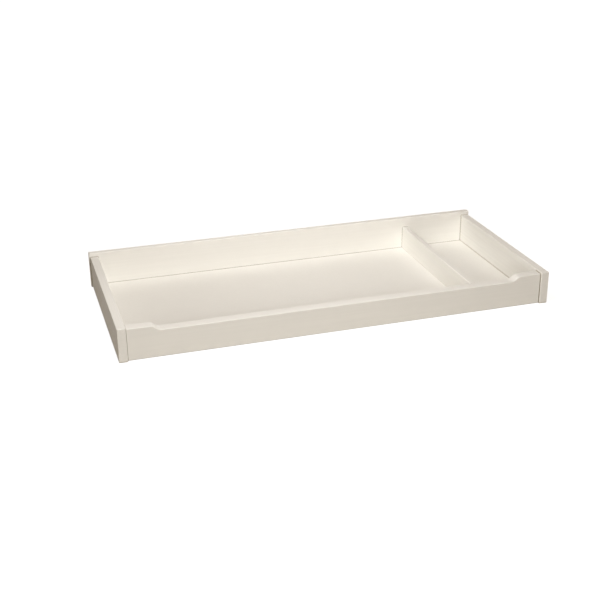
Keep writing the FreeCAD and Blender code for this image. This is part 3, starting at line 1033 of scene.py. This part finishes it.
@dataclass(frozen=True)
class Fasteners:
    """The screws and dowels that hold the boards together, in millimetres.

    The x of the ends and of the divider is at the middle of those boards. A screw's head lies in a face,
    and a dowel starts from a joint.
    """

    end_x: float = 515.0
    divider_x: float = 336.5
    rear_face_y: float = 232.2
    panel_face_z: float = 0.5
    back_joint_y: float = 216.2
    divider_joint_y: float = -207.8
    rail_joint_x: float = 505.0
    rail_y: float = -217.3
    end_screw_z: Span = (20.0, 61.0)
    divider_screw_z: Span = (22.5, 48.0)
    divider_screw_y: Span = (-101.8, 110.2)
    long_rim_y: Span = (-211.8, 220.2)
    long_rim_x: tuple[float, ...] = (-445.0, -222.5, 0.0, 222.5, 445.0)
    short_rim_x: float = 509.0
    short_rim_y: tuple[float, ...] = (-147.8, 4.2, 156.2)
    rail_dowel_z: Span = (18.0, 59.0)
    back_dowel_z: float = 40.5
    divider_dowel_z: Span = (20.5, 50.0)

    def rim(self) -> tuple[Place, ...]:
        """Places the small screws round the edge of the bottom panel.

        Returns:
            The places along its long edges, then those along its short ones.
        """
        z = self.panel_face_z
        long_edges = tuple((x, y, z) for y in self.long_rim_y for x in self.long_rim_x)
        sides = (side.value * self.short_rim_x for side in Side)
        return long_edges + tuple((x, y, z) for x in sides for y in self.short_rim_y)

    def screws(self) -> tuple[WoodScrews, ...]:
        """Sizes and places the screws.

        Returns:
            The screws through the back board, then those up through the bottom panel.
        """
        back = {"direction": AHEAD, "head_radius": 4.0, "thread_radius": 2.0, "length": 45.0, "pitch": 2.2}
        floor = {"direction": UP, "head_radius": 3.5, "thread_radius": 1.75, "length": 30.0, "pitch": 1.9}
        small = {"direction": UP, "head_radius": 2.8, "thread_radius": 1.4, "length": 14.0, "pitch": 1.4}
        x, y, z = self.divider_x, self.rear_face_y, self.panel_face_z
        in_ends = tuple((side.value * self.end_x, y, high) for side in Side for high in self.end_screw_z)
        in_divider = tuple((x, y, high) for high in self.divider_screw_z)
        under_divider = tuple((x, along, z) for along in self.divider_screw_y)
        return (
            WoodScrews("back_board_screws", in_ends, **back),
            WoodScrews("divider_back_screws", in_divider, **back),
            WoodScrews("divider_floor_screws", under_divider, **floor),
            WoodScrews("bottom_panel_screws", self.rim(), **small),
        )

    def dowels(self) -> tuple[Dowels, ...]:
        """Sizes and places the dowels.

        Returns:
            The dowels of the rail, of the back board and of the divider.
        """
        rail = {"radius": 4.0, "behind": 18.0, "ahead": 12.0, "finish": Finish.BEECH_LENGTHWISE}
        back = {"radius": 4.0, "behind": 18.0, "ahead": 10.0, "finish": Finish.BEECH_FRONT_TO_BACK}
        thin = {"radius": 3.0, "behind": 18.0, "ahead": 12.0, "finish": Finish.BEECH_FRONT_TO_BACK}
        in_rail = tuple(
            ((side.value * self.rail_joint_x, self.rail_y, z), (side.value, 0.0, 0.0))
            for side in Side
            for z in self.rail_dowel_z
        )
        ends = (side.value * self.end_x for side in Side)
        in_back = tuple(((x, self.back_joint_y, self.back_dowel_z), BEHIND) for x in ends)
        in_divider = tuple(((self.divider_x, self.divider_joint_y, z), AHEAD) for z in self.divider_dowel_z)
        return (
            Dowels("rail_dowels", in_rail, **rail),
            Dowels("back_dowels", in_back, **back),
            Dowels("divider_dowels", in_divider, **thin),
        )

    def build(self) -> None:
        """Puts every screw and dowel in its place."""
        for group in self.screws() + self.dowels():
            group.build()


@dataclass(frozen=True)
class CamFittings:
    """The two cam locks in the rail and the bolts that they draw, in millimetres.

    The cam's +Z runs ahead into the rail from its face, and the bolt's runs to the end panel from the cam's
    axis. The reach and width of the bolt's recess are shares of its head's radius.
    """

    cam_x: float = 470.5
    face_y: float = -208.1
    height: float = 38.5
    radius: float = 7.4
    length: float = 14.5
    sides: int = 64
    bolt_depth: float = 9.2
    hollow_radius: float = 5.4
    hollow_half: float = 3.4
    slot_half: float = 2.25
    entry_radius: float = 3.25
    entry_sides: int = 40
    past: float = 8.4
    cross_reach: float = 4.5
    cross_width: float = 1.4
    cross_depth: float = 1.6
    cross_taper: float = 0.85
    chamfer: float = 0.5
    mark_out: float = 5.9
    mark_radius: float = 0.9
    mark_depth: float = 0.35
    head_near: float = 1.0
    head_far: float = 4.0
    head_radius: float = 3.0
    soft: float = 0.35
    neck_radius: float = 2.0
    neck_end: float = 7.8
    shank_radius: float = 2.9
    seat: float = 34.5
    thread_radius: float = 2.5
    bolt_end: float = 45.5
    tip: float = 1.0
    tip_share: float = 0.6
    pitch: float = 1.6
    recess_reach: float = 0.6
    recess_width: float = 0.28
    recess_depth: float = 1.2

    def cam(self) -> Object:
        """Makes the right cam, hollow for the bolt's head and slotted round half its wall.

        Returns:
            The model, with its face at the origin and an arrow on it that points to the bolt's way in.
        """
        rim, wall, depth = self.radius - self.chamfer, self.radius, self.bolt_depth
        drum = ((rim, 0.0), (wall, self.chamfer), (wall, self.length - self.chamfer), (rim, self.length))
        made = Bench.turned(drum, self.sides)
        ends = (depth - self.hollow_half, depth + self.hollow_half)
        hollow = Bench.turned(tuple((self.hollow_radius, end) for end in ends), self.sides)
        slot = Bench.block(
            (-self.past, -self.slot_half, depth - self.slot_half),
            (self.past, self.past, depth + self.slot_half),
        )
        entry = Bench.turned(((self.entry_radius, 0.0), (self.entry_radius, self.past)), self.entry_sides)
        turn = Matrix.Rotation(math.radians(-QUARTER_TURN), 4, "Y")
        entry.data.transform(Matrix.Translation((0.0, 0.0, depth)) @ turn)
        cross = Bench.cross(self.cross_reach, self.cross_width, self.cross_depth, self.cross_taper)
        mark = Bench.turned(((self.mark_radius, -self.mark_depth), (self.mark_radius, self.mark_depth)), 3)
        turn = Matrix.Rotation(math.radians(QUARTER_TURN), 4, "Z")
        mark.data.transform(Matrix.Translation((-self.mark_out, 0.0, 0.0)) @ turn)
        return Bench.worked(made, Joinery.CUT, hollow, slot, entry, cross, mark)

    def bolt(self) -> Object:
        """Makes the bolt: a head with a cross recess, a neck, a shank and the thread in the end panel.

        Returns:
            The model, with the cam's axis at the origin.
        """
        near, far, wide = self.head_near, self.head_far, self.head_radius
        soft, shank, thread_end = self.soft, self.shank_radius, self.bolt_end - self.tip
        core = CORE_SHARE * self.thread_radius
        outline = (
            (wide - soft, near), (wide, near + soft), (wide, far - soft), (wide - soft, far),
            (self.neck_radius, far), (self.neck_radius, self.neck_end),
            (shank - soft, self.neck_end), (shank, self.neck_end + soft),
            (shank, self.seat - soft), (shank - soft, self.seat),
            (core, self.seat), (core, thread_end), (self.tip_share * core, self.bolt_end),
        )
        made = Bench.turned(outline)
        thread = Bench.ridge(core, self.thread_radius, self.pitch, self.seat + self.pitch, thread_end)
        Bench.worked(made, Joinery.JOIN, thread)
        recess = Bench.cross(self.recess_reach * wide, self.recess_width * wide, self.recess_depth)
        recess.data.transform(Matrix.Translation((0.0, 0.0, near)))
        return Bench.worked(made, Joinery.CUT, recess)

    def build(self) -> None:
        """Puts a cam and a bolt at each end of the rail."""
        cam, bolt = self.cam(), self.bolt()
        for side in Side:
            name, x = side.label(), side.value * self.cam_x
            made = Bench.placed(cam, f"{name}_cam", (x, self.face_y, self.height), AHEAD, side.turn())
            hand_over(made, f"{name}_cam_lock", f"{name}_cam", Finish.CAST_ZINC)
            point = (x, self.face_y - self.bolt_depth, self.height)
            made = Bench.placed(bolt, f"{name}_cam_draw_bolt", point, (side.value, 0.0, 0.0))
            hand_over(made, f"{name}_cam_bolt", "frame", Finish.SCREW_STEEL)
        Bench.cleared(cam, bolt)


@dataclass(frozen=True)
class SwingPlates:
    """The two plates that swing on the back board, with their washers and pivot screws, in millimetres.

    The dome is the outline of the screw's head, as shares of its radius and height. The reach and width of
    its recess are shares of that radius, and the recess's depth is a share of that height.
    """

    pivot_x: float = 380.0
    pivot_z: float = 28.0
    rear_y: float = 232.2
    washer_radius: float = 6.0
    washer_thickness: float = 1.0
    side_gap: float = 0.1
    plate_radius: float = 8.0
    plate_thickness: float = 2.0
    hole_spacing: float = 50.0
    hole_radius: float = 2.5
    past: float = 1.0
    plate_soft: float = 0.35
    plate_segments: int = 3
    washer_soft: float = 0.15
    depth: float = 5.59
    head_radius: float = 4.6
    head_height: float = 2.4
    dome: Outline = (
        (0.45, 0.0), (0.66, 0.05), (0.82, 0.16), (0.93, 0.34),
        (0.985, 0.55), (1.0, 0.75), (1.0, 0.95), (0.97, 1.0),
    )
    cross_reach: float = 0.55
    cross_width: float = 0.22
    cross_depth: float = 0.6
    shoulder_radius: float = 2.45
    shoulder_soft: float = 0.2
    thread_radius: float = 2.0
    thread_length: float = 12.0
    pitch: float = 1.5
    sides: int = 64

    def hole(self, x: float) -> Object:
        """Makes a pin to cut a hole with.

        Args:
            x: how far along the plate the hole is.

        Returns:
            The pin.
        """
        ends = (-self.past, self.plate_thickness + self.past)
        made = Bench.turned(tuple((self.hole_radius, end) for end in ends))
        made.data.transform(Matrix.Translation((x, 0.0, 0.0)))
        return made

    def plate(self) -> Object:
        """Makes the right plate, with round ends, two holes and soft edges.

        Returns:
            The model, with its pivot at the origin.
        """
        made = Bench.turned(((self.plate_radius, 0.0), (self.plate_radius, self.plate_thickness)), self.sides)
        made.data.transform(Matrix.Rotation(math.pi / self.sides, 4, "Z"))

        def at_free_end(place: Vector) -> bool:
            """Whether a vertex goes to the free end of the plate."""
            return place.x < 0.0

        Bench.pick_vertices(made, at_free_end)
        Bench.edit(made, Picked.VERTICES)
        bpy.ops.transform.translate(value=(-self.hole_spacing, 0.0, 0.0))
        Bench.face_out()
        Bench.worked(made, Joinery.CUT, self.hole(0.0), self.hole(-self.hole_spacing))
        return Bench.softened(made, self.plate_soft, self.plate_segments)

    def washer(self) -> Object:
        """Makes a washer, a flat ring with soft edges.

        Returns:
            The model, with one face at the origin.
        """
        made = Bench.turned(((self.washer_radius, 0.0), (self.washer_radius, self.washer_thickness)))
        Bench.worked(made, Joinery.CUT, self.hole(0.0))
        return Bench.softened(made, self.washer_soft)

    def screw(self) -> Object:
        """Makes a pan-headed screw with a shoulder for the plate.

        Returns:
            The model, with the crown of its head at the origin.
        """
        wide, high, shoulder = self.head_radius, self.head_height, self.shoulder_radius
        core = CORE_SHARE * self.thread_radius
        end = self.depth + self.thread_length
        head = tuple((wide * across, high * down) for across, down in self.dome)
        shank = (
            (shoulder, high),
            (shoulder, self.depth - self.shoulder_soft),
            (shoulder - self.shoulder_soft, self.depth),
            (core, self.depth),
            (core, end),
        )
        made = Bench.turned(head + shank)
        thread = Bench.ridge(core, self.thread_radius, self.pitch, self.depth + self.pitch, end)
        Bench.worked(made, Joinery.JOIN, thread)
        Bench.pointed(made, end - 2 * self.thread_radius, end)
        cross = Bench.cross(self.cross_reach * wide, self.cross_width * wide, self.cross_depth * high)
        return Bench.worked(made, Joinery.CUT, cross)

    def build(self) -> None:
        """Puts a plate, a washer and a screw at each pivot."""
        plate, washer, screw = self.plate(), self.washer(), self.screw()
        plate_y = self.rear_y + self.washer_thickness + self.side_gap
        crown_y = self.rear_y + self.depth
        for side in Side:
            name, x, z = side.label(), side.value * self.pivot_x, self.pivot_z
            made = Bench.placed(plate, f"{name}_plate", (x, plate_y, z), BEHIND, side.turn())
            hand_over(made, f"{name}_fixing_plate", f"{name}_plate", Finish.PLATE_STEEL)
            made = Bench.placed(washer, f"{name}_plate_washer", (x, self.rear_y, z), BEHIND)
            hand_over(made, "plate_washers", "frame", Finish.NYLON)
            point, spin = (x, crown_y, z), side.value * SPIN_STEP
            made = Bench.placed(screw, f"{name}_pivot_screw", point, AHEAD, spin)
            hand_over(made, "plate_pivot_screws", "frame", Finish.SCREW_STEEL)
        Bench.cleared(plate, washer, screw)


def main() -> None:
    """Dresses the frame, adds the hardware, and sets up the studio and the camera."""
    logging.basicConfig(level=logging.INFO, format="%(message)s")
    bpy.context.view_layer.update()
    PaintedBoards().dress()
    for assembly in (Fasteners(), CamFittings(), SwingPlates(), Studio(), TrayCamera()):
        assembly.build()


if __name__ == "__main__":
    main()
